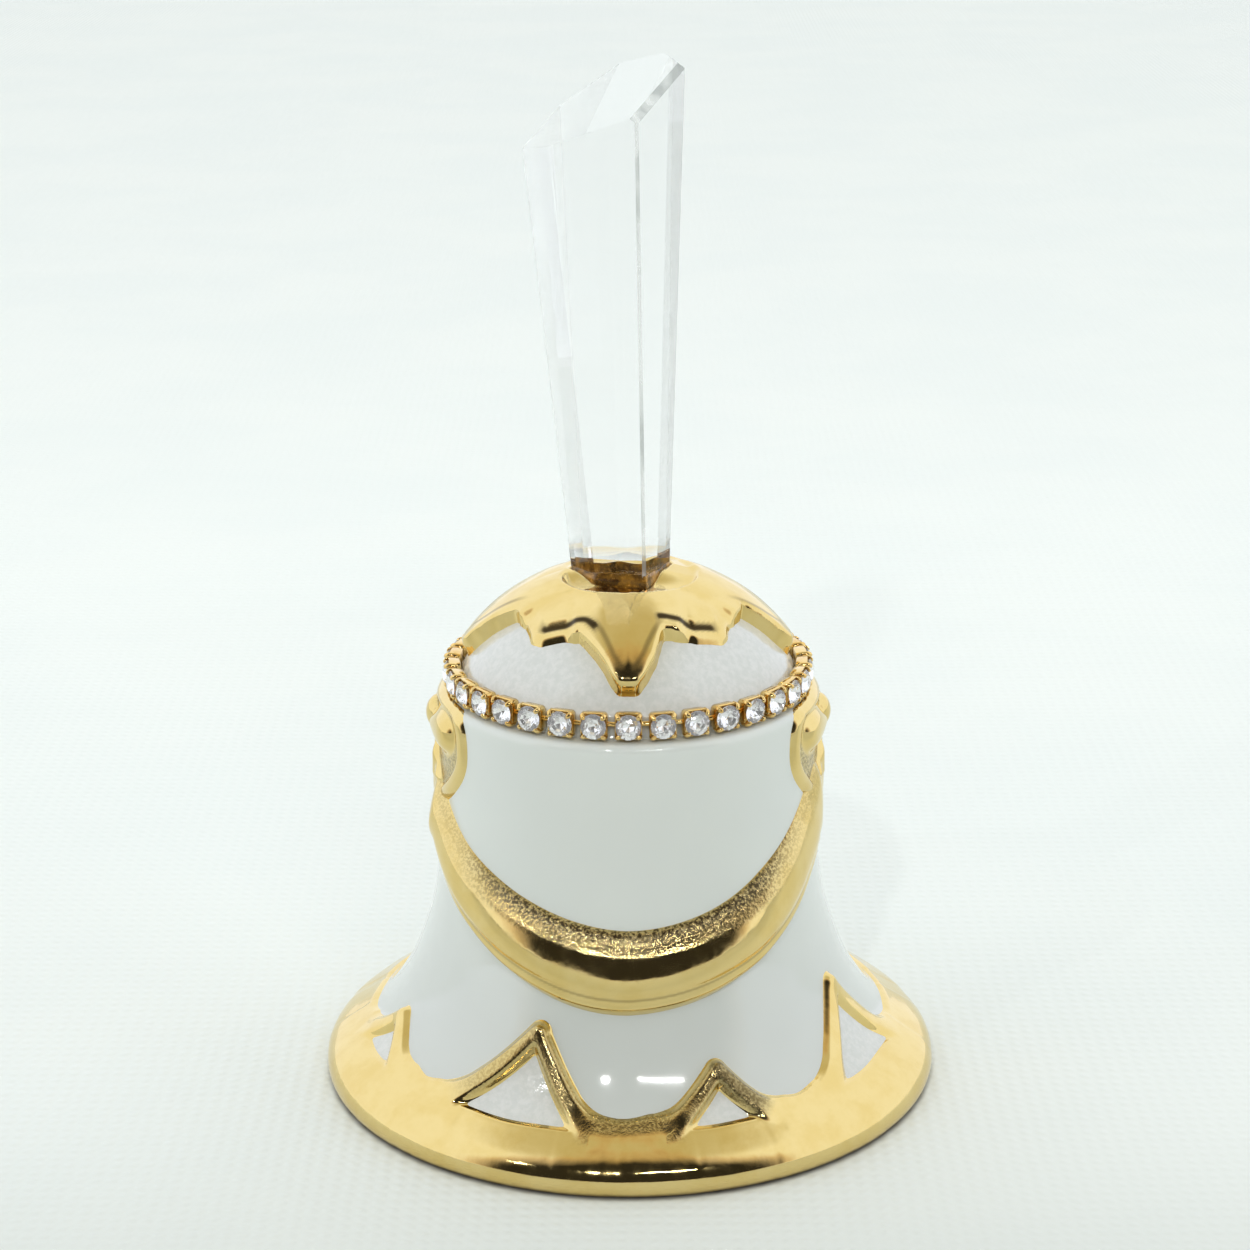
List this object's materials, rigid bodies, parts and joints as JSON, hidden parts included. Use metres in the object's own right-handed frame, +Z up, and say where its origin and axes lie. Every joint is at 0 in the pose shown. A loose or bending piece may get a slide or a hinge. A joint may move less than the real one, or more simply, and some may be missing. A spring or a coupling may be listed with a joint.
{
  "type": "hand bell",
  "caption": "Porcelain hand bell with gilded relief, a rhinestone chain round the shoulder, a faceted crystal handle and a swinging clapper.",
  "frame": {"origin": "centre of the mouth, on the plane the bell stands on", "axes": "+Z up along the bell's axis to the handle, -Y towards the front swag, +X to the right seen from the front"},
  "size_m": [0.075, 0.075, 0.1243],
  "materials": {
    "porcelain": "gloss white glaze, slightly pearly on the dome and in the peaks",
    "gilding": "bright fired gold lustre, mirror-like with fine unevenness",
    "crystal": "clear polished lead crystal",
    "amber_cement": "clear amber adhesive over gilding",
    "chain_metal": "bright gold-plated cup chain",
    "rhinestone": "clear foiled rhinestone",
    "plaster": "matt cream plaster cement",
    "brass_wire": "drawn brass wire",
    "clapper_brass": "turned brass, lightly polished"
  },
  "bodies": {
    "bell": {"bell_shell": "porcelain", "gilt_rim": "gilding", "front_swag": "gilding", "rear_swag": "gilding", "right_bow": "gilding", "left_bow": "gilding", "star_cap": "gilding", "crystal_handle": "crystal", "handle_cement": "amber_cement", "cup_chain": "chain_metal", "stone_01": "rhinestone", "stone_02": "rhinestone", "stone_03": "rhinestone", "stone_04": "rhinestone", "stone_05": "rhinestone", "stone_06": "rhinestone", "stone_07": "rhinestone", "stone_08": "rhinestone", "stone_09": "rhinestone", "stone_10": "rhinestone", "stone_11": "rhinestone", "stone_12": "rhinestone", "stone_13": "rhinestone", "stone_14": "rhinestone", "stone_15": "rhinestone", "stone_16": "rhinestone", "stone_17": "rhinestone", "stone_18": "rhinestone", "stone_19": "rhinestone", "stone_20": "rhinestone", "stone_21": "rhinestone", "stone_22": "rhinestone", "stone_23": "rhinestone", "stone_24": "rhinestone", "stone_25": "rhinestone", "stone_26": "rhinestone", "stone_27": "rhinestone", "stone_28": "rhinestone", "stone_29": "rhinestone", "stone_30": "rhinestone", "stone_31": "rhinestone", "stone_32": "rhinestone", "stone_33": "rhinestone", "stone_34": "rhinestone", "eye_cement": "plaster", "clapper_eye": "brass_wire"},
    "link": {"clapper_link": "brass_wire"},
    "clapper": {"clapper_rod": "brass_wire", "clapper_ball": "clapper_brass", "clapper_nut": "clapper_brass"}
  },
  "joints": [
    {"name": "link_swing", "type": "hinge", "parent": "bell", "child": "link", "pos_m": [0, 0, 0.0514], "axis": [1, 0, 0], "range_deg": [-19, 19]},
    {"name": "clapper_swing", "type": "hinge", "parent": "link", "child": "clapper", "pos_m": [0, 0, 0.0474], "axis": [0, 1, 0], "range_deg": [-19, 19]}
  ]
}
